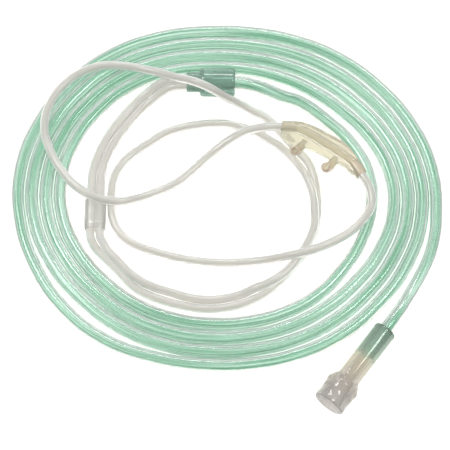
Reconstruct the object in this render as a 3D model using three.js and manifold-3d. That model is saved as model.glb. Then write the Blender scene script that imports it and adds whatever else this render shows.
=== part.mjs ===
// A nasal oxygen cannula as it lies coiled on a table, in millimetres with Z up.
// The origin is on the table, in the middle of the ground that the four fittings cover.
// The long green supply tube lies in a flat coil of one layer. Inside it the two thin clear tubes
// run from the nose piece round two wide loops, through the slider and into the Y connector.
import * as THREE from "three";
import { mergeVertices } from "three/addons/utils/BufferGeometryUtils.js";
import Module from "manifold-3d";

const wasm = await Module();
wasm.setup();

// Tubes
const SUPPLY_DIAMETER = 6;
const LARIAT_DIAMETER = 3.9;
const SOCKET_CLEARANCE = 0.2;
const GAP_IN_PAIR = 0.1;
const SUPPLY_SIDES = 10;
const LARIAT_SIDES = 8;
const LARIAT_STEPS = 96;
const START_STEPS = 12;
const TAIL_STEPS = 8;

// Coil of the supply tube: the radius of its start line and the room that one turn takes,
// both going round anticlockwise in eighths of a turn from +X
const COIL_CENTRE = { x: -4.8, y: 21.5 };
const START_RADII = [65.7, 56.8, 55.6, 63.7, 68.5, 62.0, 57.4, 59.3];
const TURN_SPACING = [6.3, 6.85, 6.2, 6.15, 6.3, 6.2, 6.2, 6.8];
const BAND_TURNS = 4;
const COIL_STEPS = 72;
const START_SLACK = { at: 0.14, reach: 0.1, amount: -1.6 };
const INNER_SLACK = { at: 0.27, reach: 0.14, amount: -3.6 };
const OUTER_SLACK = { at: 0.63, reach: 0.1, amount: 2.6 };
const TAIL_LEAVES = { from: 0.19, to: 0.26 };
const START_GAP = 0.04;
const START_JOINS = { from: 0.375, to: 0.44 };

// Y connector
const Y_CONNECTOR = {
  position: [-22.6, 74.4, 7.2],
  turn: -1,
  length: 21.6,
  radius: 6.5,
  neckLength: 5.5,
  coneLength: 1.5,
  neckThickness: 5.9,
  wall: 0.5,
  supplySocket: 10,
  lariatSocket: 8,
  passageRadius: 1.8,
  webBetweenSockets: -0.2,
  endRounding: 1.2,
  segments: 24,
  boreSegments: 16,
};

// End connector with its flared cup
const END_CONNECTOR = {
  position: [63.1, -43],
  turn: -127.2,
  length: 41.6,
  barrelRadius: 5,
  cupRadius: 7.35,
  mouthRadius: 6.9,
  barrelLength: 27.5,
  coneLength: 4,
  endRounding: 1,
  tubeSocket: 15,
  passageRadius: 2,
  cupDepth: 12.5,
  cupThroatRadius: 3.6,
  mouthBoreRadius: 4.9,
  segments: 32,
};

// Slider, a short flat sleeve round both thin tubes
const SLIDER = {
  position: [-62.4, 12],
  length: 14,
  wall: 0.6,
  clearance: 0.2,
  edge: 0.5,
};

// Nose piece: a flat plate on a round bar that takes a thin tube at each end, with two prongs
const FACEPLATE = {
  position: [35.1, 40.4, 8.2],
  turn: -31.7,
  tilt: -1.9,
  upperEdge: [
    [-19.5, 3],
    [-15.5, 6.2],
    [-9.7, 8.2],
    [0, 8.8],
    [9.4, 8.5],
    [14, 7.1],
    [21, 2.8],
  ],
  lowerEdge: [
    [20, -1.6],
    [14.5, -0.6],
    [6.7, -0.8],
    [0, -1],
    [-5, -1.8],
    [-12.5, -3.6],
    [-16.5, -2.4],
  ],
  plateThickness: 4.4,
  plateEdge: 1.2,
  barMiddle: [
    [-8, 5.3, 0],
    [0, 4.8, 0],
    [9, 4.3, 0],
  ],
  armRadius: 2.9,
  channelRadius: 1.5,
  socketDepth: 7,
  leftEnd: [-19.2, 1.9],
  leftInto: [0.9, 0.436],
  rightEnd: [23, -0.1],
  rightInto: [-0.894, 0.448],
  prongRadius: 2.2,
  prongBore: 1.2,
  prongPlaces: [-7, 9],
  prongCurve: [
    [0, 2.6, 0],
    [0, -1, 0.3],
    [0, -4.5, 1.6],
    [-0.1, -6.7, 3.8],
    [-0.2, -7.5, 6.4],
  ],
};

const supplyRadius = SUPPLY_DIAMETER / 2;
const lariatRadius = LARIAT_DIAMETER / 2;
const lariatSocketRadius = lariatRadius + SOCKET_CLEARANCE;
const supplySocketRadius = supplyRadius + SOCKET_CLEARANCE;
const pairHalf = lariatRadius + GAP_IN_PAIR / 2;

const MATERIALS = {
  supplyTube: new THREE.MeshStandardMaterial({ color: 0xa3d3ba, roughness: 0.2, metalness: 0 }),
  lariatTube: new THREE.MeshStandardMaterial({ color: 0xdfe1db, roughness: 0.2, metalness: 0 }),
  nosePiece: new THREE.MeshStandardMaterial({ color: 0xd8cdb4, roughness: 0.4, metalness: 0 }),
  slider: new THREE.MeshStandardMaterial({ color: 0xc8cac3, roughness: 0.3, metalness: 0 }),
  yConnector: new THREE.MeshStandardMaterial({ color: 0x8fa79a, roughness: 0.1, metalness: 0 }),
  endConnector: new THREE.MeshStandardMaterial({ color: 0xaaa8a0, roughness: 0.15, metalness: 0 }),
};

// Solids and meshes

function solidOf(geometry) {
  const bare = geometry.clone();
  bare.deleteAttribute("normal");
  bare.deleteAttribute("uv");
  const merged = mergeVertices(bare, 1e-4);
  return new wasm.Manifold(
    new wasm.Mesh({
      numProp: 3,
      vertProperties: new Float32Array(merged.attributes.position.array),
      triVerts: new Uint32Array(merged.index.array),
    }),
  );
}

function geometryOf(solid) {
  const mesh = solid.getMesh();
  const geometry = new THREE.BufferGeometry();
  geometry.setAttribute("position", new THREE.BufferAttribute(mesh.vertProperties, 3));
  geometry.setIndex(new THREE.BufferAttribute(mesh.triVerts, 1));
  geometry.computeVertexNormals();
  return geometry;
}

function joined(geometries) {
  return geometries.map(solidOf).reduce((sum, next) => sum.add(next));
}

function named(name, geometry, material) {
  const mesh = new THREE.Mesh(geometry, material);
  mesh.name = name;
  return mesh;
}

// Shapes

function roundSection(radius, sides) {
  const corners = [];
  for (let i = 0; i < sides; i++) {
    const angle = ((i + 0.5) / sides) * 2 * Math.PI;
    corners.push(new THREE.Vector2(radius * Math.cos(angle), radius * Math.sin(angle)));
  }
  return new THREE.Shape(corners);
}

function tubeAlong(points, radius, sides, steps) {
  const path = new THREE.CatmullRomCurve3(points.map((p) => new THREE.Vector3(...p)));
  return new THREE.ExtrudeGeometry(roundSection(radius, sides), {
    steps,
    extrudePath: path,
    bevelEnabled: false,
  });
}

// A turned solid along +X, from [axial place, radius] pairs.
function turnedAlongX(profile, segments) {
  const points = profile.map(([along, radius]) => new THREE.Vector2(radius, along));
  return new THREE.LatheGeometry(points, segments).rotateZ(-Math.PI / 2);
}

// A flat oval bar along +X with round sides, centred on the X axis.
function ovalBarAlongX(width, thickness, from, to) {
  const radius = thickness / 2;
  const half = width / 2 - radius;
  const outline = new THREE.Shape();
  outline.absarc(half, 0, radius, -Math.PI / 2, Math.PI / 2);
  outline.absarc(-half, 0, radius, Math.PI / 2, Math.PI * 1.5);
  return new THREE.ExtrudeGeometry(outline, {
    depth: to - from,
    curveSegments: 6,
    bevelEnabled: false,
  })
    .rotateY(Math.PI / 2)
    .rotateX(Math.PI / 2)
    .translate(from, 0, 0);
}

// Coil of the supply tube

function aroundTheCoil(values, phi) {
  const count = values.length;
  const place = (((phi / (2 * Math.PI)) % 1) + 1) * count;
  const base = Math.floor(place);
  const t = place - base;
  const [a, b, c, d] = [-1, 0, 1, 2].map((k) => values[(base + k + count) % count]);
  const slopeIn = (c - a) / 2;
  const slopeOut = (d - b) / 2;
  return (
    b +
    slopeIn * t +
    (3 * (c - b) - 2 * slopeIn - slopeOut) * t * t +
    (2 * (b - c) + slopeIn + slopeOut) * t * t * t
  );
}

function swell(slack, share) {
  const away = Math.abs(share - slack.at) / slack.reach;
  return away < 1 ? (slack.amount * (1 + Math.cos(Math.PI * away))) / 2 : 0;
}

// A point of the coil: share of a turn clockwise from +Y, and turns outwards from the start line.
function coilPoint(share, turns, slack) {
  const phi = Math.PI / 2 - share * 2 * Math.PI;
  const radius = aroundTheCoil(START_RADII, phi) + aroundTheCoil(TURN_SPACING, phi) * turns + slack;
  return [COIL_CENTRE.x + radius * Math.cos(phi), COIL_CENTRE.y + radius * Math.sin(phi)];
}

// The band of turns is one closed ring. Its section has a flat-topped round for each turn.
function coilBand() {
  const flat = supplyRadius * Math.tan(Math.PI / 8);
  const corner = (1 - flat / supplyRadius) / 2;
  const top = [];
  const bottom = [];
  for (let k = 0; k < BAND_TURNS; k++) {
    top.push([k, flat], [k + corner, supplyRadius], [k + 1 - corner, supplyRadius]);
    bottom.push([k, -flat], [k + corner, -supplyRadius], [k + 1 - corner, -supplyRadius]);
  }
  top.push([BAND_TURNS, flat]);
  bottom.push([BAND_TURNS, -flat]);
  const section = [...bottom, ...top.reverse()];
  section.push(section[0]);
  // The ring is turned round a plain circle first. Then each corner moves to its place in the coil.
  const plainRadius = START_RADII[0];
  const ring = new THREE.LatheGeometry(
    section.map(([place, height]) => new THREE.Vector2(plainRadius + place, height)),
    COIL_STEPS,
  ).rotateX(Math.PI / 2);
  const position = ring.getAttribute("position");
  for (let i = 0; i < position.count; i++) {
    const x = position.getX(i);
    const y = position.getY(i);
    const laneAt = Math.hypot(x, y) - plainRadius;
    const share = (((Math.PI / 2 - Math.atan2(y, x)) / (2 * Math.PI)) % 1 + 1) % 1;
    const inner = share + 0.5 - THREE.MathUtils.smoothstep(share, START_JOINS.from, START_JOINS.to);
    const outer =
      share + BAND_TURNS + 0.5 - THREE.MathUtils.smoothstep(share, TAIL_LEAVES.from, TAIL_LEAVES.to);
    const turns = inner + ((outer - inner) * laneAt) / BAND_TURNS;
    const inOuterTurn = laneAt > BAND_TURNS - 1 + corner / 2;
    const slack = inOuterTurn ? swell(OUTER_SLACK, share) : 0;
    const [px, py] = coilPoint(share, turns, slack);
    position.setXYZ(i, px, py, position.getZ(i) + supplyRadius);
  }
  return ring;
}

// Routes of the tubes. Each list is a curve's own points, X, Y and Z, on or above the table.

function supplyStartRoute() {
  const route = [
    [-10.5, 74.2, 7.2],
    [-5, 74.1, 7.2],
    [0, 74, 7.1],
    [6, 73.5, 6.3],
    [13, 71.8, 4.6],
    [20, 69.1, 3.3],
  ];
  for (let share = 0.1; share < START_JOINS.from - 0.01; share += 1 / 24) {
    const slack = swell(START_SLACK, share) + swell(INNER_SLACK, share);
    const [x, y] = coilPoint(share, share - START_GAP, slack);
    route.push([x, y, supplyRadius]);
  }
  return route;
}

const SUPPLY_TAIL_ROUTE = [
  [87.2, 8.5, 3],
  [86, 0.5, 3],
  [83.6, -7.8, 3],
  [79.3, -17, 3.1],
  [74.2, -26.2, 4.4],
  [69.9, -33.4, 6.4],
  [66.1, -39, 7.3],
  [63.1, -43, 7.35],
  [58.6, -48.9, 7.35],
  [54.4, -54.5, 7.35],
];

const LEFT_LARIAT_ROUTE = [
  [26.3, 51.4, 7.75],
  [23, 51.75, 7.65],
  [19.8, 52.1, 7.55],
  [16, 52.3, 7.4],
  [12, 52.1, 7.2],
  [9, 51.8, 6.8],
  [3.8, 50.7, 6.3],
  [-2.4, 47.5, 5.2],
  [-10.4, 42.3, 2.8],
  [-16.6, 36.8, 2],
  [-26.3, 27.9, 2],
  [-36.8, 22.4, 2.6],
  [-45, 18.5, 5],
  [-52.3, 16.3, 7.4],
  [-59.7, 17.3, 8],
  [-66.8, 20.3, 8.1],
  [-75.8, 28.6, 8.1],
  [-82.8, 40.7, 8.1],
  [-85.6, 51.3, 8.1],
  [-83.5, 63.1, 8.1],
  [-76.2, 74, 8.1],
  [-68.3, 79.5, 8.1],
  [-60.7, 82, 8.1],
  [-51.8, 82.1, 8.1],
  [-41.4, 80.1, 8.4],
  [-33.7, 77.4, 9.8],
  [-26.9, 74.5, 11.6],
  [-21.1, 72, 13.9],
  [-15.3, 69.5, 14.6],
  [-9.5, 67.1, 12.9],
  [-4.2, 65.6, 8.9],
  [1.2, 64.8, 4.6],
  [6.6, 62.5, 2.2],
  [11.1, 60.3, 2],
  [15.1, 57.1, 2],
  [19.5, 51.9, 2],
  [23.9, 46.6, 2],
  [28.3, 41.4, 2],
  [31.1, 37.8, 2],
  [33.5, 31.8, 2],
  [35.1, 22.6, 2],
  [35.2, 14.5, 2],
  [34.2, 7.4, 2],
  [32.3, 1.3, 2],
  [28.7, -5.8, 2],
  [24.2, -12.1, 2],
  [18.8, -18.1, 2],
  [12.2, -24.1, 2],
  [6.2, -27.5, 2],
  [0, -29.9, 2],
  [-6.8, -31.3, 2],
  [-14.6, -31.6, 2],
  [-22.8, -30.4, 2],
  [-31.4, -28.1, 2],
  [-38.4, -25.4, 2],
  [-44.9, -21.5, 2],
  [-52, -13.9, 2],
  [-58.3, -7.5, 2],
  [-62.6, -2.6, 2.2],
  [-64.3, 1.5, 2.7],
  [-64.4, 6, 2.7],
  [-64.4, 12, 2.7],
  [-64.4, 20, 2.7],
  [-64.4, 27, 2.7],
  [-64, 33, 2.2],
  [-62.2, 40.1, 2],
  [-59, 47.5, 2],
  [-54, 55.7, 2],
  [-47.8, 63.8, 2],
  [-41, 70.4, 3.1],
  [-34.6, 74.4, 5.6],
  [-29.6, 76.1, 6.9],
  [-26, 76.5, 7.2],
  [-22.6, 76.45, 7.2],
  [-15.2, 76.3, 7.2],
];

const RIGHT_LARIAT_ROUTE = [
  [51.1, 33.8, 8.8],
  [53, 30.8, 8.9],
  [54.6, 28.2, 9],
  [56.2, 25.7, 9],
  [57.8, 22.4, 8.8],
  [58.7, 18.2, 8.4],
  [58.5, 13.9, 8.1],
  [56.2, 9.6, 8.1],
  [50.6, 3.1, 8.6],
  [41.3, -3.3, 9.4],
  [31.7, -7.5, 9.8],
  [25.2, -9, 9.2],
  [19.6, -9.5, 7.2],
  [13.2, -9.8, 4.6],
  [6.2, -10, 2.6],
  [0.2, -10.2, 2],
  [-7.7, -10.4, 2],
  [-16.4, -9.7, 2],
  [-26, -8.1, 2],
  [-36, -5.3, 2],
  [-47, -0.6, 2],
  [-52.3, 4.8, 2],
  [-54.7, 10.7, 2],
  [-55.6, 16.9, 2],
  [-55.7, 23.1, 2],
  [-54.6, 29.6, 2],
  [-51.4, 36.2, 2],
  [-46.8, 41.2, 2],
  [-40.2, 46.1, 2],
  [-31.8, 51.7, 2],
  [-23.4, 54.6, 2],
  [-16.7, 55.8, 2],
  [-10, 56.4, 2],
  [-3.3, 56, 2],
  [3, 54.1, 2],
  [9.1, 51.7, 2],
  [14.1, 48.3, 2],
  [20.7, 43.4, 2],
  [24.3, 39.3, 2],
  [27.5, 34.8, 2.2],
  [30.9, 27.9, 4.2],
  [33.1, 19.7, 5.4],
  [33.6, 12.9, 5.8],
  [33.4, 5.8, 6],
  [31.2, -0.8, 6],
  [27, -8.3, 6],
  [23.1, -13.6, 6],
  [19.1, -17.5, 6],
  [14, -20.8, 6.1],
  [7.6, -23.1, 5],
  [1, -25.3, 2.5],
  [-5.3, -26.8, 2],
  [-14.6, -27.4, 2],
  [-21.9, -26.2, 2],
  [-30.2, -23.9, 2.6],
  [-38.3, -21.6, 4.3],
  [-45.7, -17.4, 5.2],
  [-52.5, -10.4, 5.7],
  [-56.7, -5.7, 5.7],
  [-58.6, -1.9, 4.6],
  [-60, 1.6, 3.2],
  [-60.4, 6, 2.7],
  [-60.4, 12, 2.7],
  [-60.4, 20, 2.7],
  [-60.4, 27, 2.7],
  [-60, 32.6, 2.2],
  [-58.4, 38.9, 2],
  [-55.4, 45.5, 2],
  [-50.6, 53.5, 2],
  [-44.8, 61.2, 2],
  [-38.6, 67, 3.1],
  [-32.7, 70.8, 5.6],
  [-28.9, 72.1, 6.9],
  [-26, 72.4, 7.2],
  [-22.6, 72.35, 7.2],
  [-15.2, 72.2, 7.2],
];

// Fittings

function yConnector() {
  const c = Y_CONNECTOR;
  const socketHalf = lariatSocketRadius + c.webBetweenSockets / 2;
  const neckWidth = 2 * (socketHalf + lariatSocketRadius + c.wall);
  const shoulder = c.neckLength + c.coneLength;
  const barrel = turnedAlongX(
    [
      [c.neckLength, 0],
      [c.neckLength, c.neckThickness / 2],
      [shoulder, c.radius],
      [c.length - c.endRounding, c.radius],
      [c.length - c.endRounding * 0.3, c.radius - c.endRounding * 0.4],
      [c.length, c.radius - c.endRounding],
      [c.length, 0],
    ],
    c.segments,
  );
  const neck = ovalBarAlongX(neckWidth, c.neckThickness, 0, shoulder);
  const cuts = [
    [supplySocketRadius, c.length - c.supplySocket, c.length + 1, 0],
    [c.passageRadius, c.lariatSocket - 1, c.length - c.supplySocket + 1, 0],
    [lariatSocketRadius, -1, c.lariatSocket, socketHalf],
    [lariatSocketRadius, -1, c.lariatSocket, -socketHalf],
  ].map(([radius, from, to, side]) =>
    turnedAlongX(
      [
        [from, 0],
        [from, radius],
        [to, radius],
        [to, 0],
      ],
      c.boreSegments,
    ).translate(0, side, 0),
  );
  const mesh = named(
    "y_connector",
    geometryOf(joined([barrel, neck]).subtract(joined(cuts))),
    MATERIALS.yConnector,
  );
  mesh.position.set(...c.position);
  mesh.rotation.z = THREE.MathUtils.degToRad(c.turn);
  return mesh;
}

function endConnector() {
  const c = END_CONNECTOR;
  const cupStart = c.barrelLength + c.coneLength;
  const cupEnd = c.length - c.cupDepth;
  const body = turnedAlongX(
    [
      [0, 0],
      [0, c.barrelRadius - c.endRounding],
      [c.endRounding * 0.3, c.barrelRadius - c.endRounding * 0.3],
      [c.endRounding, c.barrelRadius],
      [c.barrelLength, c.barrelRadius],
      [cupStart, c.cupRadius],
      [c.length, c.mouthRadius],
      [c.length, 0],
    ],
    c.segments,
  );
  const hollow = turnedAlongX(
    [
      [-1, 0],
      [-1, supplySocketRadius],
      [c.tubeSocket, supplySocketRadius],
      [c.tubeSocket, c.passageRadius],
      [cupEnd, c.passageRadius],
      [cupEnd, c.cupThroatRadius],
      [c.length, c.mouthBoreRadius],
      [c.length + 1, c.mouthBoreRadius],
      [c.length + 1, 0],
    ],
    c.segments,
  );
  const mesh = named(
    "end_connector",
    geometryOf(solidOf(body).subtract(solidOf(hollow))),
    MATERIALS.endConnector,
  );
  mesh.position.set(...c.position, c.cupRadius);
  mesh.rotation.z = THREE.MathUtils.degToRad(c.turn);
  return mesh;
}

function tubeSlider() {
  const c = SLIDER;
  const openWidth = 2 * (pairHalf + lariatRadius + c.clearance);
  const openHeight = 2 * (lariatRadius + c.clearance);
  const width = openWidth + 2 * c.wall;
  const thickness = openHeight + 2 * c.wall;
  const half = c.length / 2;
  const shell = joined([
    ovalBarAlongX(width - c.edge, thickness - c.edge, -half, half),
    ovalBarAlongX(width, thickness, -half + c.edge, half - c.edge),
  ]);
  const opening = solidOf(ovalBarAlongX(openWidth, openHeight, -half - 1, half + 1));
  const mesh = named("tube_slider", geometryOf(shell.subtract(opening)), MATERIALS.slider);
  mesh.position.set(...c.position, thickness / 2);
  mesh.rotation.z = Math.PI / 2;
  return mesh;
}

function nasalFaceplate() {
  const c = FACEPLATE;
  const outline = new THREE.Shape();
  outline.moveTo(...c.upperEdge[0]);
  outline.splineThru(c.upperEdge.slice(1).map((p) => new THREE.Vector2(...p)));
  outline.lineTo(...c.lowerEdge[0]);
  outline.splineThru(c.lowerEdge.slice(1).map((p) => new THREE.Vector2(...p)));
  outline.closePath();
  const plate = new THREE.ExtrudeGeometry(outline, {
    depth: c.plateThickness - 2 * c.plateEdge,
    curveSegments: 3,
    bevelEnabled: true,
    bevelThickness: c.plateEdge,
    bevelSize: c.plateEdge,
    bevelOffset: -c.plateEdge,
    bevelSegments: 2,
  }).translate(0, 0, c.plateEdge - c.plateThickness / 2);
  const socketLine = (end, into) =>
    [-1, c.socketDepth].map((d) => [end[0] + into[0] * d, end[1] + into[1] * d, 0]);
  const leftSocket = socketLine(c.leftEnd, c.leftInto);
  const rightSocket = socketLine(c.rightEnd, c.rightInto);
  const arms = [
    [...c.leftEnd, 0],
    leftSocket[1],
    ...c.barMiddle,
    rightSocket[1],
    [...c.rightEnd, 0],
  ];
  const beyond = (route) => {
    const tip = route[route.length - 1];
    return [...route, [tip[0], tip[1] - 0.3, tip[2] + 1]];
  };
  const prongs = c.prongPlaces.map((place) => c.prongCurve.map(([x, y, z]) => [place + x, y, z]));
  const body = joined([
    plate,
    tubeAlong(arms, c.armRadius, 12, 14),
    ...prongs.map((route) => tubeAlong(route, c.prongRadius, 12, 8)),
  ]);
  const cuts = joined([
    tubeAlong(arms, c.channelRadius, 8, 14),
    tubeAlong(leftSocket, lariatSocketRadius, 12, 1),
    tubeAlong(rightSocket, lariatSocketRadius, 12, 1),
    ...prongs.map((route) => tubeAlong(beyond(route), c.prongBore, 8, 9)),
  ]);
  const mesh = named("nasal_faceplate", geometryOf(body.subtract(cuts)), MATERIALS.nosePiece);
  mesh.position.set(...c.position);
  mesh.rotation.set(0, THREE.MathUtils.degToRad(c.tilt), THREE.MathUtils.degToRad(c.turn), "ZYX");
  return mesh;
}

// Assembly

const cannula = new THREE.Group();
cannula.add(
  nasalFaceplate(),
  tubeSlider(),
  yConnector(),
  endConnector(),
  named(
    "lariat_tube_left",
    tubeAlong(LEFT_LARIAT_ROUTE, lariatRadius, LARIAT_SIDES, LARIAT_STEPS),
    MATERIALS.lariatTube,
  ),
  named(
    "lariat_tube_right",
    tubeAlong(RIGHT_LARIAT_ROUTE, lariatRadius, LARIAT_SIDES, LARIAT_STEPS),
    MATERIALS.lariatTube,
  ),
  named("supply_coil", coilBand(), MATERIALS.supplyTube),
  named(
    "supply_tube_start",
    tubeAlong(supplyStartRoute(), supplyRadius, SUPPLY_SIDES, START_STEPS),
    MATERIALS.supplyTube,
  ),
  named(
    "supply_tube_tail",
    tubeAlong(SUPPLY_TAIL_ROUTE, supplyRadius, SUPPLY_SIDES, TAIL_STEPS),
    MATERIALS.supplyTube,
  ),
);

export default cannula;
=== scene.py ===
# A nasal oxygen cannula that lies coiled on a pale table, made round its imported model.
# Lengths in this file are millimetres. Blender's own are metres, so they are times MM.
import math
import bpy
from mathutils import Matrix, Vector


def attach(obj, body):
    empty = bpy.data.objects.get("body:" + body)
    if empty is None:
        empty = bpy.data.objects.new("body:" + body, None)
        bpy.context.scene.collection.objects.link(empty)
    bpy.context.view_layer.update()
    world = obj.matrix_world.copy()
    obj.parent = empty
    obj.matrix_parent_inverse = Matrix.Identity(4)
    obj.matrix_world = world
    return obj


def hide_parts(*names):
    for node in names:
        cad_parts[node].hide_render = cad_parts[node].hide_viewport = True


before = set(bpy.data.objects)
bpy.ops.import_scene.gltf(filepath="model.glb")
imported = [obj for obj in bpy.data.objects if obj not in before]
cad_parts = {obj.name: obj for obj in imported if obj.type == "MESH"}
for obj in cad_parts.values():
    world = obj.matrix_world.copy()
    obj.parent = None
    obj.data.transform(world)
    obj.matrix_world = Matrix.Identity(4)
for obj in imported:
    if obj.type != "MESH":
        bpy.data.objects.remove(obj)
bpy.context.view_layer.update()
MM = 0.001

# Camera, table and light
# The photograph looks down at the table from a steep angle. The table is white and matt.
# Large soft white lamps overhead give the tubes their long bright lines.
CAMERA_TARGET = Vector((-5.5, 7, 3)) * MM
CAMERA_DISTANCE = 900 * MM
CAMERA_ELEVATION = math.radians(68)
CAMERA_LENS = 164.5
CAMERA_SENSOR = 36
TABLE_SIZE = 12000
TABLE_WHITE = "#fdfcf8"
TENT_STRENGTH = 0.8
TENT_HORIZON = 0.25


def colour(hex_code):
    """An sRGB hex value as linear red, green, blue and alpha."""
    channels = [int(hex_code[i : i + 2], 16) / 255 for i in (1, 3, 5)]
    return [c / 12.92 if c <= 0.04045 else ((c + 0.055) / 1.055) ** 2.4 for c in channels] + [1]


def add_node(tree, kind, settings=None, links=None):
    """Adds a node, gives it properties and socket values, and links its inputs."""
    node = tree.nodes.new(kind)
    for name, value in (settings or {}).items():
        if hasattr(node, str(name)):
            setattr(node, name, value)
        else:
            node.inputs[name].default_value = value
    for name, socket in (links or {}).items():
        tree.links.new(socket, node.inputs[name])
    return node


def new_material(name):
    """An empty material, and its node tree."""
    material = bpy.data.materials.new(name)
    material.use_nodes = True
    material.node_tree.nodes.clear()
    return material, material.node_tree


def surface(tree, shader, volume=None):
    """Ends a material with its surface and, for a tinted clear one, what its inside absorbs."""
    output = add_node(tree, "ShaderNodeOutputMaterial", links={"Surface": shader.outputs[0]})
    if volume:
        tree.links.new(volume.outputs[0], output.inputs["Volume"])


def soft_lamp(name, place, size, power):
    """A wide lamp that points at the object's middle. It throws no shadow, so the table stays white."""
    data = bpy.data.lights.new(name, "AREA")
    data.shape = "RECTANGLE"
    data.size, data.size_y = (side * MM for side in size)
    data.energy = power
    data.use_shadow = False
    lamp = bpy.data.objects.new(name, data)
    bpy.context.scene.collection.objects.link(lamp)
    lamp.location = Vector(place) * MM
    lamp.rotation_euler = (-lamp.location).to_track_quat("-Z", "Y").to_euler()


camera_data = bpy.data.cameras.new("camera")
camera_data.lens = CAMERA_LENS
camera_data.sensor_width = CAMERA_SENSOR
camera = bpy.data.objects.new("camera", camera_data)
bpy.context.scene.collection.objects.link(camera)
backwards = Vector((0, -math.cos(CAMERA_ELEVATION), math.sin(CAMERA_ELEVATION)))
camera.location = CAMERA_TARGET + backwards * CAMERA_DISTANCE
camera.rotation_euler = (-backwards).to_track_quat("-Z", "Y").to_euler()
bpy.context.scene.camera = camera

bpy.ops.object.select_all(action="DESELECT")
bpy.ops.mesh.primitive_plane_add(size=TABLE_SIZE * MM)
floor = bpy.context.object
floor.name = "floor"

# Matt white board gives no highlight, and shows as the photograph's even white ground.
material, tree = new_material("white_matt_table")
board = add_node(
    tree,
    "ShaderNodeBsdfPrincipled",
    {"Base Color": colour(TABLE_WHITE), "Roughness": 0.9, "Specular IOR Level": 0.1},
)
surface(tree, board)
floor.data.materials.append(material)

# A white tent round the table is brightest overhead, so the tubes' sides look a little darker.
world = bpy.data.worlds.new("white_studio_tent")
bpy.context.scene.world = world
world.use_nodes = True
tree = world.node_tree
backdrop = tree.nodes["Background"]
backdrop.inputs["Strength"].default_value = TENT_STRENGTH
direction = add_node(tree, "ShaderNodeTexCoord")
parts = add_node(tree, "ShaderNodeSeparateXYZ", links={0: direction.outputs["Generated"]})
tent = add_node(tree, "ShaderNodeValToRGB", links={0: parts.outputs["Z"]})
tent.color_ramp.elements[0].position = 0.05
tent.color_ramp.elements[0].color = (TENT_HORIZON, TENT_HORIZON, TENT_HORIZON, 1)
tent.color_ramp.elements[1].position = 0.6
tent.color_ramp.elements[1].color = (1, 1, 1, 1)
tree.links.new(tent.outputs["Color"], backdrop.inputs["Color"])
bpy.context.scene.view_settings.view_transform = "Standard"

# Each lamp has its place, its size and its power in watts.
soft_lamp("lamp_left", (-450, 250, 1000), (300, 300), 3.2)
soft_lamp("lamp_right", (500, 0, 1000), (200, 350), 2.2)
soft_lamp("lamp_back", (100, 750, 800), (600, 150), 2.6)

# Supply tube
# One 2.1 m tube of green clear soft PVC, extruded, with a star-shaped bore that can't kink shut.
# It leaves the Y connector, winds outwards in four flat turns and ends in the end connector.
SUPPLY_DIAMETER = 6
SUPPLY_RADIUS = SUPPLY_DIAMETER / 2
SUPPLY_LENGTH = 2100
BORE_MEAN_RADIUS = 2.1
BORE_WAVE = 0.3
BORE_LOBES = 6
SUPPLY_CORNERS = 36
STEPS_PER_PLACE = 4
LINE_SPACING = 0.72
LINE_RUN = 70
# The paler streak colour is in part a painted highlight along the strands.
LINE_GREEN = "#98c6ae"
PALE_GREEN_WITH_PAINTED_HIGHLIGHT = "#ecf7f1"
GREEN_LEFT_BY_WALL = (0.1, 0.75, 0.5, 1)
COIL_CENTRE = (-4.8, 21.5)
START_RADII = [65.7, 56.8, 55.6, 63.7, 68.5, 62.0, 57.4, 59.3]
TURN_SPACING = [6.3, 6.85, 6.2, 6.15, 6.3, 6.2, 6.2, 6.8]
COIL_FIRST_TURN = 0.1
COIL_LAST_TURN = 4.23
POINTS_PER_TURN = 24
START_SLACK = {"at": 0.14, "reach": 0.1, "amount": -1.6}
INNER_SLACK = {"at": 0.27, "reach": 0.14, "amount": -3.6}
OUTER_SLACK = {"at": 3.63, "reach": 0.1, "amount": 2.6}
SUPPLY_START_ROUTE = [
    (-10.5, 74.2, 7.2), (-5, 74.1, 7.2), (0, 74, 7.1), (6, 73.5, 6.3), (13, 71.8, 4.6),
    (20, 69.1, 3.3),
]
SUPPLY_TAIL_ROUTE = [
    (87.2, 8.5, 3), (86, 0.5, 3), (83.6, -7.8, 3), (79.3, -17, 3.1), (74.2, -26.2, 4.4),
    (69.9, -33.4, 6.4), (66.1, -39, 7.3), (63.1, -43, 7.35), (58.6, -48.9, 7.35),
    (54.4, -54.5, 7.35),
]


def around_the_coil(values, angle):
    """A smooth value round the coil, from its values at each eighth of a turn."""
    count = len(values)
    place = (angle / (2 * math.pi)) % 1 * count
    base = math.floor(place)
    t = place - base
    a, b, c, d = (values[(base + k) % count] for k in (-1, 0, 1, 2))
    slope_in, slope_out = (c - a) / 2, (d - b) / 2
    square = 3 * (c - b) - 2 * slope_in - slope_out
    cube = 2 * (b - c) + slope_in + slope_out
    return b + slope_in * t + square * t**2 + cube * t**3


def swell(slack, turn):
    """How far the tube bulges out, or in, where it lies a little slack."""
    away = abs(turn - slack["at"]) / slack["reach"]
    return slack["amount"] * (1 + math.cos(math.pi * away)) / 2 if away < 1 else 0


def coil_point(turn):
    """The tube's centre after so many turns, counted clockwise from +Y."""
    angle = math.pi / 2 - turn * 2 * math.pi
    radius = around_the_coil(START_RADII, angle) + around_the_coil(TURN_SPACING, angle) * turn
    radius += swell(START_SLACK, turn) + swell(INNER_SLACK, turn) + swell(OUTER_SLACK, turn)
    x = COIL_CENTRE[0] + radius * math.cos(angle)
    return (x, COIL_CENTRE[1] + radius * math.sin(angle), SUPPLY_RADIUS)


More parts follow.
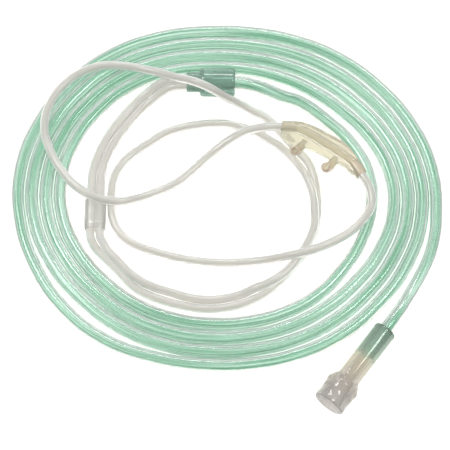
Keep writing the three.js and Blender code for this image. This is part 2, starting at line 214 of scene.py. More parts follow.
def smooth_curve(name, route, steps):
    """A curve through all points of a route."""
    data = bpy.data.curves.new(name, "CURVE")
    data.dimensions = "3D"
    data.resolution_u = steps
    data.twist_mode = "Z_UP"
    spline = data.splines.new("BEZIER")
    spline.bezier_points.add(len(route) - 1)
    for point, place in zip(spline.bezier_points, route):
        point.co = Vector(place) * MM
        point.handle_left_type = point.handle_right_type = "AUTO"
    piece = bpy.data.objects.new(name, data)
    bpy.context.scene.collection.objects.link(piece)
    return piece


def centreline(curve):
    """The points that a bare curve runs through, in metres."""
    mesh = curve.to_mesh()
    points = [tuple(vertex.co) for vertex in mesh.vertices]
    curve.to_mesh_clear()
    return points


def wall_outline(name, radius_at, corners):
    """A closed flat outline whose radius is a function of the angle, as a tube's section."""
    data = bpy.data.curves.new(name, "CURVE")
    data.dimensions = "2D"
    spline = data.splines.new("POLY")
    spline.points.add(corners - 1)
    for i, point in enumerate(spline.points):
        angle = 2 * math.pi * i / corners
        radius = radius_at(angle) * MM
        point.co = (radius * math.cos(angle), radius * math.sin(angle), 0, 1)
    spline.use_cyclic_u = True
    outline = bpy.data.objects.new(name, data)
    bpy.context.scene.collection.objects.link(outline)
    return outline


def use_only(piece):
    """Selects one piece alone and makes it the active one."""
    bpy.ops.object.select_all(action="DESELECT")
    piece.select_set(True)
    bpy.context.view_layer.objects.active = piece


def hollow_tube(name, route, outer, bore, corners):
    """A hollow tube with closed end walls, and its centreline. outer and bore give a radius."""
    line = None
    walls = []
    for radius_at in (outer, bore):
        wall = smooth_curve(name, route, STEPS_PER_PLACE)
        line = line or centreline(wall)
        outline = wall_outline(name + "_section", radius_at, corners)
        wall.data.bevel_mode = "OBJECT"
        wall.data.bevel_object = outline
        use_only(wall)
        bpy.ops.object.convert(target="MESH")
        bpy.data.objects.remove(outline)
        walls.append(bpy.context.object)
    skin, bore_wall = walls
    use_only(bore_wall)
    bpy.ops.object.mode_set(mode="EDIT")
    bpy.ops.mesh.select_all(action="SELECT")
    bpy.ops.mesh.flip_normals()
    bpy.ops.object.mode_set(mode="OBJECT")
    use_only(skin)
    bore_wall.select_set(True)
    bpy.ops.object.join()
    # At each end, the rims of skin and bore are bridged to make the tube's cut face.
    for end in (Vector(line[0]), Vector(line[-1])):
        bpy.ops.object.mode_set(mode="EDIT")
        bpy.ops.mesh.select_mode(type="VERT")
        bpy.ops.mesh.select_all(action="DESELECT")
        bpy.ops.mesh.select_non_manifold()
        bpy.ops.object.mode_set(mode="OBJECT")
        reach = outer(0) * 1.2 * MM
        for vertex in skin.data.vertices:
            vertex.select = vertex.select and (vertex.co - end).length < reach
        for edge in skin.data.edges:
            edge.select = all(skin.data.vertices[v].select for v in edge.vertices)
        bpy.ops.object.mode_set(mode="EDIT")
        bpy.ops.mesh.bridge_edge_loops()
        bpy.ops.object.mode_set(mode="OBJECT")
    bpy.ops.object.shade_smooth_by_angle(angle=math.radians(50))
    skin.name = skin.data.name = name
    return skin, line


def star_bore(angle):
    """The bore's radius at an angle. Its lobes keep a way open for the gas when the tube kinks."""
    return BORE_MEAN_RADIUS + BORE_WAVE * math.cos(BORE_LOBES * angle)


turns = COIL_LAST_TURN - COIL_FIRST_TURN
count = round(turns * POINTS_PER_TURN)
coil_route = [coil_point(COIL_FIRST_TURN + turns * i / count) for i in range(count + 1)]
supply_tube, supply_line = hollow_tube(
    "supply_tube",
    SUPPLY_START_ROUTE + coil_route + SUPPLY_TAIL_ROUTE,
    outer=lambda angle: SUPPLY_RADIUS,
    bore=star_bore,
    corners=SUPPLY_CORNERS,
)

# Soft PVC is extruded glossy and see-through. The die leaves fine lengthwise lines all round the wall,
# drawn as paler and deeper green streaks. The paler streaks are in part painted highlights, and the
# tint gathers where light runs a long way inside it.
# How far apart the real lines lie, and how long each runs, isn't known: both values are
# matched to the streaks in the photograph.
lines_around = round(math.pi * SUPPLY_DIAMETER / LINE_SPACING)
lines_along = SUPPLY_LENGTH / LINE_RUN
material, tree = new_material("green_clear_soft_pvc")
wall_map = add_node(tree, "ShaderNodeUVMap", {"uv_map": "UVMap"})
drawn_out = add_node(
    tree,
    "ShaderNodeVectorMath",
    {"operation": "MULTIPLY", 1: (lines_along, lines_around, 1)},
    {0: wall_map.outputs["UV"]},
)
lines = add_node(
    tree, "ShaderNodeTexNoise", {"Scale": 1, "Detail": 2}, {"Vector": drawn_out.outputs[0]}
)
streaks_and_painted_highlights = add_node(tree, "ShaderNodeValToRGB", links={0: lines.outputs[0]})
streaks_and_painted_highlights.color_ramp.elements[0].position = 0.4
streaks_and_painted_highlights.color_ramp.elements[0].color = colour(LINE_GREEN)
streaks_and_painted_highlights.color_ramp.elements[1].position = 0.6
streaks_and_painted_highlights.color_ramp.elements[1].color = colour(PALE_GREEN_WITH_PAINTED_HIGHLIGHT)
green = add_node(
    tree,
    "ShaderNodeBsdfPrincipled",
    {"Roughness": 0.1, "IOR": 1.53, "Transmission Weight": 0.75},
    {"Base Color": streaks_and_painted_highlights.outputs["Color"]},
)
tint = add_node(
    tree, "ShaderNodeVolumeAbsorption", {"Color": GREEN_LEFT_BY_WALL, "Density": 65}
)
surface(tree, green, tint)
supply_tube.data.materials.append(material)
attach(supply_tube, "cannula")
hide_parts("supply_coil", "supply_tube_start", "supply_tube_tail")

# Lariat tubes
# Two thin clear tubes of soft PVC from the nose piece's two ends to the Y connector.
# Each makes a wide loop of its own, and both run side by side through the slider.
LARIAT_DIAMETER = 3.9
LARIAT_RADIUS = LARIAT_DIAMETER / 2
LARIAT_BORE_RADIUS = 1.1
LARIAT_CORNERS = 20
LARIAT_BASE = "#dad9d3"
LARIAT_TINT = (0.6, 0.6, 0.5, 1)
LEFT_LARIAT_ROUTE = [
    (26.3, 51.4, 7.75), (23, 51.75, 7.65), (19.8, 52.1, 7.55), (16, 52.3, 7.4), (12, 52.1, 7.2),
    (9, 51.8, 6.8), (3.8, 50.7, 6.3), (-2.4, 47.5, 5.2), (-10.4, 42.3, 2.8), (-16.6, 36.8, 2),
    (-26.3, 27.9, 2), (-36.8, 22.4, 2.6), (-45, 18.5, 5), (-52.3, 16.3, 7.4), (-59.7, 17.3, 8),
    (-66.8, 20.3, 8.1), (-75.8, 28.6, 8.1), (-82.8, 40.7, 8.1), (-85.6, 51.3, 8.1),
    (-83.5, 63.1, 8.1), (-76.2, 74, 8.1), (-68.3, 79.5, 8.1), (-60.7, 82, 8.1), (-51.8, 82.1, 8.1),
    (-41.4, 80.1, 8.4), (-33.7, 77.4, 9.8), (-26.9, 74.5, 11.6), (-21.1, 72, 13.9),
    (-15.3, 69.5, 14.6), (-9.5, 67.1, 12.9), (-4.2, 65.6, 8.9), (1.2, 64.8, 4.6), (6.6, 62.5, 2.2),
    (11.1, 60.3, 2), (15.1, 57.1, 2), (19.5, 51.9, 2), (23.9, 46.6, 2), (28.3, 41.4, 2),
    (31.1, 37.8, 2), (33.5, 31.8, 2), (35.1, 22.6, 2), (35.2, 14.5, 2), (34.2, 7.4, 2),
    (32.3, 1.3, 2), (28.7, -5.8, 2), (24.2, -12.1, 2), (18.8, -18.1, 2), (12.2, -24.1, 2),
    (6.2, -27.5, 2), (0, -29.9, 2), (-6.8, -31.3, 2), (-14.6, -31.6, 2), (-22.8, -30.4, 2),
    (-31.4, -28.1, 2), (-38.4, -25.4, 2), (-44.9, -21.5, 2), (-52, -13.9, 2), (-58.3, -7.5, 2),
    (-62.6, -2.6, 2.2), (-64.3, 1.5, 2.7), (-64.4, 6, 2.7), (-64.4, 12, 2.7), (-64.4, 20, 2.7),
    (-64.4, 24, 2.7), (-64.4, 27, 2.7), (-64, 33, 2.2), (-62.2, 40.1, 2), (-59, 47.5, 2),
    (-54, 55.7, 2), (-47.8, 63.8, 2), (-41, 70.4, 3.1), (-34.6, 74.4, 5.6), (-29.6, 76.1, 6.9),
    (-26, 76.5, 7.2), (-22.6, 76.45, 7.2), (-15.2, 76.3, 7.2),
]
RIGHT_LARIAT_ROUTE = [
    (51.1, 33.8, 8.8), (53, 30.8, 8.9), (54.6, 28.2, 9), (56.2, 25.7, 9), (57.8, 22.4, 8.8),
    (58.7, 18.2, 8.4), (58.5, 13.9, 8.1), (56.2, 9.6, 8.1), (50.6, 3.1, 8.6), (41.3, -3.3, 9.4),
    (31.7, -7.5, 9.8), (25.2, -9, 9.2), (19.6, -9.5, 7.2), (13.2, -9.8, 4.6), (6.2, -10, 2.6),
    (0.2, -10.2, 2), (-7.7, -10.4, 2), (-16.4, -9.7, 2), (-26, -8.1, 2), (-36, -5.3, 2),
    (-47, -0.6, 2), (-52.3, 4.8, 2), (-54.7, 10.7, 2), (-55.4, 16.9, 2), (-55.45, 23.1, 2),
    (-54.6, 29.6, 2), (-51.4, 36.2, 2), (-46.8, 41.2, 2), (-40.2, 46.1, 2), (-31.8, 51.7, 2),
    (-23.4, 54.6, 2), (-16.7, 55.8, 2), (-10, 56.4, 2), (-3.3, 56, 2), (3, 54.1, 2), (9.1, 51.7, 2),
    (14.1, 48.3, 2), (20.7, 43.4, 2), (24.3, 39.3, 2), (27.5, 34.8, 2.2), (30.9, 27.9, 4.2),
    (33.1, 19.7, 5.4), (33.6, 12.9, 5.8), (33.4, 5.8, 6), (31.2, -0.8, 6), (27, -8.3, 6),
    (23.1, -13.6, 6), (19.1, -17.5, 6), (14, -20.8, 6.1), (7.6, -23.1, 5), (1, -25.3, 2.5),
    (-5.3, -26.8, 2), (-14.6, -27.4, 2), (-21.9, -26.2, 2), (-30.2, -23.9, 2.6),
    (-38.3, -21.6, 4.3), (-45.7, -17.4, 5.2), (-52.5, -10.4, 5.7), (-56.7, -5.7, 5.7),
    (-58.6, -1.9, 4.6), (-60, 1.6, 3.2), (-60.4, 6, 2.7), (-60.4, 12, 2.7), (-60.4, 20, 2.7),
    (-60.4, 24, 2.7), (-60.4, 27, 2.7), (-60, 32.6, 2.2), (-58.4, 38.9, 2), (-55.4, 45.5, 2),
    (-50.6, 53.5, 2), (-44.8, 61.2, 2), (-38.6, 67, 3.1), (-32.7, 70.8, 5.6), (-28.9, 72.1, 6.9),
    (-26, 72.4, 7.2), (-22.6, 72.35, 7.2), (-15.2, 72.2, 7.2),
]

# Clear soft PVC is extruded glossy. It looks milky grey where it lies over white, with a
# bright line along its top, and darkens only a little through its thickness.
material, tree = new_material("clear_soft_pvc")
clear = add_node(
    tree,
    "ShaderNodeBsdfPrincipled",
    {
        "Base Color": colour(LARIAT_BASE),
        "Roughness": 0.1,
        "IOR": 1.53,
        "Transmission Weight": 0.6,
    },
)
tint = add_node(tree, "ShaderNodeVolumeAbsorption", {"Color": LARIAT_TINT, "Density": 15})
surface(tree, clear, tint)
for name, node, route in (
    ("lariat_left", "lariat_tube_left", LEFT_LARIAT_ROUTE),
    ("lariat_right", "lariat_tube_right", RIGHT_LARIAT_ROUTE),
):
    lariat, line = hollow_tube(
        name,
        route,
        outer=lambda angle: LARIAT_RADIUS,
        bore=lambda angle: LARIAT_BORE_RADIUS,
        corners=LARIAT_CORNERS,
    )
    lariat.data.materials.append(material)
    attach(lariat, "cannula")
    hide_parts(node)

# Y connector
# A round barrel moulded from smoky green clear PVC, with a flat oval neck.
# The supply tube is glued into the barrel's bore and the two lariats into the neck's two sockets.
Y_PLACE = (-22.6, 74.4, 7.2)
Y_TURN = -1
Y_LENGTH = 21.6
Y_RADIUS = 6.5
Y_NECK_LENGTH = 5.5
Y_CONE_LENGTH = 1.5
Y_NECK_RADIUS = 2.95
Y_NECK_SPREAD = 1.75
Y_END_ROUNDING = 1.2
Y_SUPPLY_SOCKET = 10
Y_LARIAT_SOCKET = 8
Y_PASSAGE_RADIUS = 1.8
SOCKET_CLEARANCE = 0.2
SUPPLY_SOCKET_RADIUS = SUPPLY_RADIUS + SOCKET_CLEARANCE
LARIAT_SOCKET_RADIUS = LARIAT_RADIUS + SOCKET_CLEARANCE
LARIAT_SOCKET_SIDE = 2.05
SMOKE_GREEN = "#a9c4b8"
SMOKE_TINT = (0.1, 0.4, 0.3, 1)


def turned(name, profile, corners):
    """A turned wall round the X axis, drawn out ring by ring. The profile's last ring is its first."""
    bpy.ops.object.select_all(action="DESELECT")
    place, radius = profile[0]
    bpy.ops.mesh.primitive_circle_add(
        vertices=corners,
        radius=radius * MM,
        location=(place * MM, 0, 0),
        rotation=(0, math.pi / 2, 0),
    )
    piece = bpy.context.object
    piece.name = piece.data.name = name
    bpy.ops.object.transform_apply()
    bpy.ops.object.mode_set(mode="EDIT")
    bpy.ops.mesh.select_all(action="SELECT")
    for (here, old), (there, new) in zip(profile, profile[1:]):
        step = ((there - here) * MM, 0, 0)
        bpy.ops.mesh.extrude_region_move(TRANSFORM_OT_translate={"value": step})
        bpy.ops.transform.resize(value=(1, new / old, new / old), center_override=(there * MM, 0, 0))
    bpy.ops.mesh.select_all(action="SELECT")
    bpy.ops.mesh.remove_doubles(threshold=0.001 * MM)
    bpy.ops.mesh.normals_make_consistent(inside=False)
    bpy.ops.object.mode_set(mode="OBJECT")
    return piece


def rod(name, start, end, radius, corners):
    """A solid rod between two points."""
    bpy.ops.object.select_all(action="DESELECT")
    start, end = Vector(start) * MM, Vector(end) * MM
    bpy.ops.mesh.primitive_cylinder_add(
        vertices=corners, radius=radius * MM, depth=(end - start).length, location=(start + end) / 2
    )
    piece = bpy.context.object
    piece.name = name
    piece.rotation_euler = (end - start).to_track_quat("Z", "Y").to_euler()
    bpy.ops.object.transform_apply()
    return piece


def widened(piece, spread):
    """Pulls a round bar's two halves apart sideways, which makes its section a flat oval."""
    use_only(piece)
    for side in (1, -1):
        bpy.ops.object.mode_set(mode="EDIT")
        bpy.ops.mesh.select_all(action="DESELECT")
        bpy.ops.object.mode_set(mode="OBJECT")
        for vertex in piece.data.vertices:
            vertex.select = vertex.co.y * side > 1e-6
        bpy.ops.object.mode_set(mode="EDIT")
        bpy.ops.mesh.select_mode(type="VERT")
        bpy.ops.transform.translate(value=(0, side * spread * MM, 0))
        bpy.ops.object.mode_set(mode="OBJECT")
    return piece


def finished(piece, kind, **settings):
    """Adds a modifier to a piece and applies it."""
    use_only(piece)
    modifier = piece.modifiers.new(kind.lower(), kind)
    for name, value in settings.items():
        setattr(modifier, name, value)
    bpy.ops.object.modifier_apply(modifier=modifier.name)
    return piece


def combined(piece, operation, others):
    """Joins others to a piece, or cuts them out of it, and removes them."""
    for other in others:
        finished(piece, "BOOLEAN", operation=operation, object=other, solver="EXACT")
        bpy.data.objects.remove(other)
    return piece


def put(piece, place, turn, tilt=0):
    """Moves a finished piece to its place, so that its object stays at the origin."""
    use_only(piece)
    piece.location = Vector(place) * MM
    piece.rotation_euler = (0, math.radians(tilt), math.radians(turn))
    bpy.ops.object.transform_apply()
    return piece


def smooth(piece, degrees=35):
    """Shades a piece smooth but for its edges that are sharper than an angle."""
    use_only(piece)
    bpy.ops.object.shade_smooth_by_angle(angle=math.radians(degrees))
    return piece


shoulder = Y_NECK_LENGTH + Y_CONE_LENGTH
y_connector = turned(
    "y_connector_body",
    [
        (Y_NECK_LENGTH - 1, Y_PASSAGE_RADIUS),
        (Y_NECK_LENGTH - 1, Y_NECK_RADIUS - 0.4),
        (Y_NECK_LENGTH, Y_NECK_RADIUS - 0.1),
        (Y_NECK_LENGTH + 0.2, Y_RADIUS - 1.6),
        (Y_NECK_LENGTH + 0.7, Y_RADIUS - 0.5),
        (shoulder, Y_RADIUS - 0.05),
        (shoulder + 1, Y_RADIUS),
        (Y_LENGTH - Y_END_ROUNDING, Y_RADIUS),
        (Y_LENGTH - 0.6, Y_RADIUS - 0.2),
        (Y_LENGTH - 0.2, Y_RADIUS - 0.6),
        (Y_LENGTH, Y_RADIUS - Y_END_ROUNDING),
        (Y_LENGTH, SUPPLY_SOCKET_RADIUS + 0.4),
        (Y_LENGTH - 0.4, SUPPLY_SOCKET_RADIUS),
        (Y_LENGTH - Y_SUPPLY_SOCKET, SUPPLY_SOCKET_RADIUS),
        (Y_LENGTH - Y_SUPPLY_SOCKET, Y_PASSAGE_RADIUS),
        (Y_NECK_LENGTH - 1, Y_PASSAGE_RADIUS),
    ],
    56,
)
neck = widened(rod("y_neck", (0, 0, 0), (shoulder, 0, 0), Y_NECK_RADIUS, 40), Y_NECK_SPREAD)
finished(neck, "BEVEL", width=0.35 * MM, segments=3, limit_method="ANGLE", angle_limit=math.radians(50))
combined(y_connector, "UNION", [neck])
sockets = [
    rod("socket", (-1, side, 0), (Y_LARIAT_SOCKET, side, 0), LARIAT_SOCKET_RADIUS, 32)
    for side in (LARIAT_SOCKET_SIDE, -LARIAT_SOCKET_SIDE)
]
combined(y_connector, "DIFFERENCE", sockets)
smooth(put(y_connector, Y_PLACE, Y_TURN))

# PVC moulded in a polished mould is glassy. The thick wall swallows red light, so it looks
# a smoky deep green, with a sharp white highlight along the barrel.
material, tree = new_material("smoke_green_moulded_pvc")
smoke = add_node(
    tree,
    "ShaderNodeBsdfPrincipled",
    {
        "Base Color": colour(SMOKE_GREEN),
        "Roughness": 0.04,
        "IOR": 1.53,
        "Transmission Weight": 0.8,
    },
)
tint = add_node(tree, "ShaderNodeVolumeAbsorption", {"Color": SMOKE_TINT, "Density": 60})
surface(tree, smoke, tint)
y_connector.data.materials.append(material)
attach(y_connector, "cannula")
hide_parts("y_connector")

# Slider
# A short sleeve cut from flat oval clear PVC, a little flared at its upper end.
# It grips both lariats, and slides along them to shorten the loop under the chin.
SLIDER_PLACE = (-62.4, 12, 2.75)
SLIDER_LENGTH = 14
SLIDER_WALL = 0.6
SLIDER_CLEARANCE = 0.2
SLIDER_OPENING_RADIUS = LARIAT_RADIUS + SLIDER_CLEARANCE
SLIDER_OPENING_SPREAD = 2
SLIDER_RADIUS = SLIDER_OPENING_RADIUS + SLIDER_WALL
SLEEVE_GREY = "#dededa"

half = SLIDER_LENGTH / 2
slider = turned(
    "slider",
    [
        (-half, SLIDER_OPENING_RADIUS + 0.1),
        (-half, SLIDER_RADIUS - 0.3),
        (-half + 0.3, SLIDER_RADIUS - 0.2),
        (-half + 2.5, SLIDER_RADIUS - 0.05),
        (-half + 3.5, SLIDER_RADIUS),
        (half - 0.6, SLIDER_RADIUS),
        (half - 0.15, SLIDER_RADIUS - 0.12),
        (half, SLIDER_RADIUS - 0.3),
        (half, SLIDER_OPENING_RADIUS + 0.1),
        (half - 0.3, SLIDER_OPENING_RADIUS),
        (-half + 0.3, SLIDER_OPENING_RADIUS),
        (-half, SLIDER_OPENING_RADIUS + 0.1),
    ],
    48,
)
widened(slider, SLIDER_OPENING_SPREAD)
smooth(put(slider, SLIDER_PLACE, 90))

# The sleeve's thin wall is a little frosted by extrusion, so the two tubes inside look soft.
material, tree = new_material("grey_clear_sleeve_pvc")
sleeve = add_node(
    tree,
    "ShaderNodeBsdfPrincipled",
    {
        "Base Color": colour(SLEEVE_GREY),
        "Roughness": 0.16,
        "IOR": 1.53,
        "Transmission Weight": 0.8,
    },
)
surface(tree, sleeve)
slider.data.materials.append(material)
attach(slider, "slider")
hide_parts("tube_slider")

# End connector
# Moulded from clear soft PVC with a grey cast. The supply tube is glued into its barrel.
# The flared cup has fine ribs inside that grip the nipple of an oxygen outlet.
END_PLACE = (63.1, -43, 7.35)
END_TURN = -127.2
END_LENGTH = 41.6
END_BARREL_RADIUS = 5
END_BARREL_LENGTH = 27.5
END_CONE_LENGTH = 4
END_CUP_RADIUS = 7.35
END_MOUTH_RADIUS = 6.9
END_TUBE_SOCKET = 15
END_PASSAGE_RADIUS = 2
END_CUP_DEPTH = 12.5
END_THROAT_RADIUS = 3.6
END_MOUTH_BORE = 4.9
END_RIBS = 12
END_RIB_HEIGHT = 0.35
END_CORNERS = 72
# The rim's colour is a painted dark shade, and the barrel's greens are painted where the tube shows
# through; the cup's greys are the connector's own grey cast.
END_RIM_PAINTED_SHADE = "#75897d"
END_MOUTH_SHADE = "#c8c5c3"
END_PAINTED_TUBE_GREENS_AND_GREYS = ((0.04, "#a3b7aa"), (0.32, "#b4c6b7"), (0.42, "#d2ccbb"), (0.7, "#cac5bd"))

cup_start = END_BARREL_LENGTH + END_CONE_LENGTH
cup_floor = END_LENGTH - END_CUP_DEPTH
end_connector = turned(
    "end_connector_body",
    [
        (0, SUPPLY_SOCKET_RADIUS + 0.3),
        (0, END_BARREL_RADIUS - 0.8),
        (0.25, END_BARREL_RADIUS - 0.3),
        (1, END_BARREL_RADIUS),
        (1.8, END_BARREL_RADIUS - 0.1),
        (2.4, END_BARREL_RADIUS - 0.15),
        (END_BARREL_LENGTH - 1, END_BARREL_RADIUS - 0.1),
        (END_BARREL_LENGTH, END_BARREL_RADIUS + 0.1),
        (cup_start - 2.4, END_BARREL_RADIUS + 1.3),
        (cup_start - 0.8, END_CUP_RADIUS - 0.25),
        (cup_start, END_CUP_RADIUS),
        (cup_start + 1, END_CUP_RADIUS),
        (cup_start + 1.5, END_CUP_RADIUS - 0.25),
        (END_LENGTH - 2.6, END_MOUTH_RADIUS - 0.1),
        (END_LENGTH - 2.2, END_MOUTH_RADIUS + 0.1),
        (END_LENGTH - 0.5, END_MOUTH_RADIUS + 0.05),
        (END_LENGTH, END_MOUTH_RADIUS - 0.4),
        (END_LENGTH, END_MOUTH_BORE + 0.4),
        (END_LENGTH - 0.6, END_MOUTH_BORE),
        (END_LENGTH - 1.6, END_MOUTH_BORE - 0.1),
        (cup_floor + 1.5, END_THROAT_RADIUS + 0.15),
        (cup_floor, END_THROAT_RADIUS),
        (cup_floor, END_PASSAGE_RADIUS),
        (END_TUBE_SOCKET, END_PASSAGE_RADIUS),
        (END_TUBE_SOCKET, SUPPLY_SOCKET_RADIUS),
        (0.3, SUPPLY_SOCKET_RADIUS),
        (0, SUPPLY_SOCKET_RADIUS + 0.3),
    ],
    END_CORNERS,
)

# Each rib is two faces wide, raised from the cup's wall all along its depth.
use_only(end_connector)
bpy.ops.object.mode_set(mode="EDIT")
bpy.ops.mesh.select_mode(type="FACE")
bpy.ops.mesh.select_all(action="DESELECT")
bpy.ops.object.mode_set(mode="OBJECT")
per_rib = END_CORNERS // END_RIBS
for face in end_connector.data.polygons:
    middle = face.center / MM
    from_axis = math.hypot(middle.y, middle.z)
    in_cup = cup_floor + 2 < middle.x < END_LENGTH - 2 and from_axis < END_MOUTH_BORE + 0.1
    sector = int(math.degrees(math.atan2(middle.z, middle.y)) % 360 / (360 / END_CORNERS))
    face.select = in_cup and sector % per_rib < 2
bpy.ops.object.mode_set(mode="EDIT")
bpy.ops.mesh.extrude_region_shrink_fatten(
    TRANSFORM_OT_shrink_fatten={"value": END_RIB_HEIGHT * MM}
)
bpy.ops.object.mode_set(mode="OBJECT")
smooth(put(end_connector, END_PLACE, END_TURN))

# PVC moulded in a polished mould is glassy and colourless. Along its axis the colour is painted: a dark
# painted shade at the barrel's rim, the glued-in tube's green painted on the barrel where it shows
# through, and the cup beyond it plain grey.
material, tree = new_material("grey_clear_moulded_pvc")
space = add_node(tree, "ShaderNodeTexCoord")
from_rim = add_node(
    tree,
    "ShaderNodeVectorMath",
    {"operation": "SUBTRACT", 1: Vector(END_PLACE) * MM},
    {0: space.outputs["Object"]},
)
axis = Vector((math.cos(math.radians(END_TURN)), math.sin(math.radians(END_TURN)), 0))
along = add_node(
    tree, "ShaderNodeVectorMath", {"operation": "DOT_PRODUCT", 1: axis}, {0: from_rim.outputs[0]}
)
share = add_node(
    tree,
    "ShaderNodeMapRange",
    {"From Min": 0, "From Max": END_LENGTH * MM},
    {"Value": along.outputs["Value"]},
)
tints = add_node(tree, "ShaderNodeValToRGB", links={0: share.outputs[0]})
tints.color_ramp.elements[0].position = 0
tints.color_ramp.elements[0].color = colour(END_RIM_PAINTED_SHADE)
tints.color_ramp.elements[1].position = 1
tints.color_ramp.elements[1].color = colour(END_MOUTH_SHADE)
for place, shade in END_PAINTED_TUBE_GREENS_AND_GREYS:
    tints.color_ramp.elements.new(place).color = colour(shade)
grey = add_node(
    tree,
    "ShaderNodeBsdfPrincipled",
    {"Roughness": 0.05, "IOR": 1.53, "Transmission Weight": 0.75},
    {"Base Color": tints.outputs["Color"]},
)
surface(tree, grey)
end_connector.data.materials.append(material)
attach(end_connector, "cannula")
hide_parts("end_connector")

# Nose piece
# Moulded in one piece from soft cream PVC: a thin fan of a plate on a round hollow bar, with a
# ridge along its upper edge and two curved prongs. The lariats are glued into the bar's ends.
NOSE_PLACE = (35.1, 40.4, 8.2)
NOSE_TURN = -31.7
NOSE_TILT = -1.9
PLATE_THICKNESS = 3.6
PLATE_EDGE = 1.1
PLATE_OUTLINE = [
    (-19.5, 3), (-15.5, 6.2), (-9.7, 8.2), (0, 8.8), (9.4, 8.5), (14, 7.1), (21, 2.8),
    (20, -1.6), (14.5, -0.8), (6.7, -1), (0, -1.1), (-5, -1.8), (-12.5, -3.6), (-16.5, -2.4),
]
BAR_ROUTE = [
    (-19.2, 1.9, 0), (-13.5, 4.6, 0), (-8, 5.2, 0), (0, 4.8, 0), (9, 4.3, 0), (16.7, 3, 0),
    (23, -0.1, 0),
]
RIDGE_ROUTE = [
    (-19.3, 3.3, 0.9), (-14.9, 6.3, 1.2), (-9.6, 7.9, 1.4), (0, 8.5, 1.4), (9.4, 8.2, 1.3),
    (14, 6.8, 1.1), (18.5, 4.3, 0.7),
]
BAR_RADIUS = 2.9
RIDGE_RADIUS = 0.7
CHANNEL_RADIUS = 1.5
PRONG_PLACES = (-7, 9)
PRONG_CURVE = [(0, 1, 0), (0, -1.5, 0.3), (0, -4.5, 1.6), (-0.1, -6.7, 3.8), (-0.2, -7.5, 6.4)]
PRONG_SWELL = (0.7, 0.9, 1, 0.95, 1)
PRONG_RADIUS = 2.2
PRONG_BORE = 1.25
CREASE = [(2.1, 0.3, 1.9), (1.1, 3.1, 2.4)]
FAN_FOLDS = [
    [(-17.2, 1.2, 1.8), (-15, -2, 1.8)],
    [(-16.2, 1.6, 1.8), (-13.3, -2.6, 1.8)],
    [(-15, 2, 1.8), (-11.6, -2.8, 1.8)],
]
CREASE_RADIUS = 0.4
FOLD_RADIUS = 0.22
SOCKET_DEPTH = 7
REMESH_SIZE = 0.32
CREAM = "#d6d4c1"
PRONG_TIP_CREAM = "#dfcbb9"
TINT_HEIGHTS = (9, 14)


def bent_rod(name, route, radius, swells=None):
    """A round solid along a curve. swells are its thicknesses at the route's points."""
    piece = smooth_curve(name, route, 6)
    piece.data.bevel_depth = radius * MM
    piece.data.bevel_resolution = 5
    piece.data.use_fill_caps = True
    for point, thickness in zip(piece.data.splines[0].bezier_points, swells or [1] * len(route)):
        point.radius = thickness
    use_only(piece)
    bpy.ops.object.convert(target="MESH")
    return bpy.context.object


def joined(name, pieces):
    """Makes one piece of several, without merging their surfaces."""
    use_only(pieces[0])
    for piece in pieces:
        piece.select_set(True)
    bpy.ops.object.join()
    bpy.context.object.name = bpy.context.object.data.name = name
    return bpy.context.object


plate = smooth_curve("plate", [(x, y, 0) for x, y in PLATE_OUTLINE], 6)
plate.data.dimensions = "2D"
plate.data.fill_mode = "BOTH"
plate.data.splines[0].use_cyclic_u = True
plate.data.extrude = (PLATE_THICKNESS / 2 - PLATE_EDGE) * MM
plate.data.bevel_depth = PLATE_EDGE * MM
plate.data.offset = -PLATE_EDGE * MM
plate.data.bevel_resolution = 3
use_only(plate)
bpy.ops.object.convert(target="MESH")
prong_routes = [[(place + x, y, z) for x, y, z in PRONG_CURVE] for place in PRONG_PLACES]
nose_piece = joined(
    "nose_piece",
    [
        plate,
        bent_rod("bar", BAR_ROUTE, BAR_RADIUS),
        bent_rod("ridge", RIDGE_ROUTE, RIDGE_RADIUS),
        *[bent_rod("prong", route, PRONG_RADIUS, PRONG_SWELL) for route in prong_routes],
    ],
)

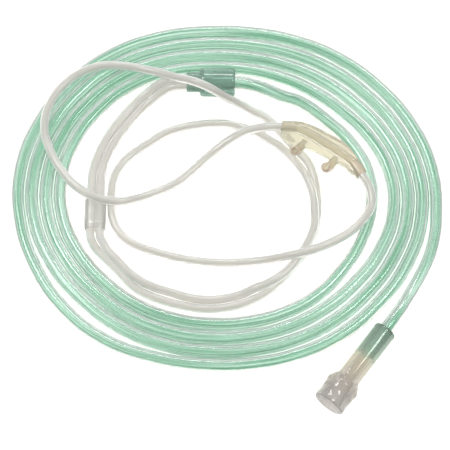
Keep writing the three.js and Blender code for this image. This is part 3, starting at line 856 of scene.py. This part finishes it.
# The plate, bar, ridge and prongs are melted into one skin, and their joins are rounded.
finished(nose_piece, "REMESH", mode="VOXEL", voxel_size=REMESH_SIZE * MM)
finished(nose_piece, "SMOOTH", factor=0.5, iterations=7)
cutters = []
for end, inner in ((BAR_ROUTE[0], BAR_ROUTE[1]), (BAR_ROUTE[-1], BAR_ROUTE[-2])):
    inwards = (Vector(inner) - Vector(end)).normalized()
    mouth = Vector(end) - inwards
    cutters.append(rod("socket", mouth, mouth + inwards * (SOCKET_DEPTH + 1), LARIAT_SOCKET_RADIUS, 24))
cutters.append(bent_rod("channel", BAR_ROUTE[1:-1], CHANNEL_RADIUS))
for route in prong_routes:
    x, y, z = route[-1]
    cutters.append(bent_rod("prong_bore", route + [(x, y - 0.3, z + 1.5)], PRONG_BORE))
for place in PRONG_PLACES:
    foot, head = ((place + x, y, z) for x, y, z in CREASE)
    cutters.append(rod("crease", foot, head, CREASE_RADIUS, 12))
for foot, head in FAN_FOLDS:
    cutters.append(rod("fold", foot, head, FOLD_RADIUS, 12))
combined(nose_piece, "DIFFERENCE", cutters)
smooth(put(nose_piece, NOSE_PLACE, NOSE_TURN, NOSE_TILT), 50)

# Soft PVC from a matt mould has a satin gloss. The thick plate looks cream, and the thin
# prongs a little pinker towards their tips.
material, tree = new_material("cream_soft_moulded_pvc")
space = add_node(tree, "ShaderNodeTexCoord")
parts = add_node(tree, "ShaderNodeSeparateXYZ", links={0: space.outputs["Object"]})
up_the_prongs = add_node(
    tree,
    "ShaderNodeMapRange",
    {"From Min": TINT_HEIGHTS[0] * MM, "From Max": TINT_HEIGHTS[1] * MM},
    {"Value": parts.outputs["Z"]},
)
tints = add_node(tree, "ShaderNodeValToRGB", links={0: up_the_prongs.outputs[0]})
tints.color_ramp.elements[0].color = colour(CREAM)
tints.color_ramp.elements[1].color = colour(PRONG_TIP_CREAM)
cream = add_node(
    tree,
    "ShaderNodeBsdfPrincipled",
    {"Roughness": 0.22, "IOR": 1.5, "Transmission Weight": 0.78},
    {"Base Color": tints.outputs["Color"]},
)
surface(tree, cream)
nose_piece.data.materials.append(material)
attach(nose_piece, "cannula")
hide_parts("nasal_faceplate")
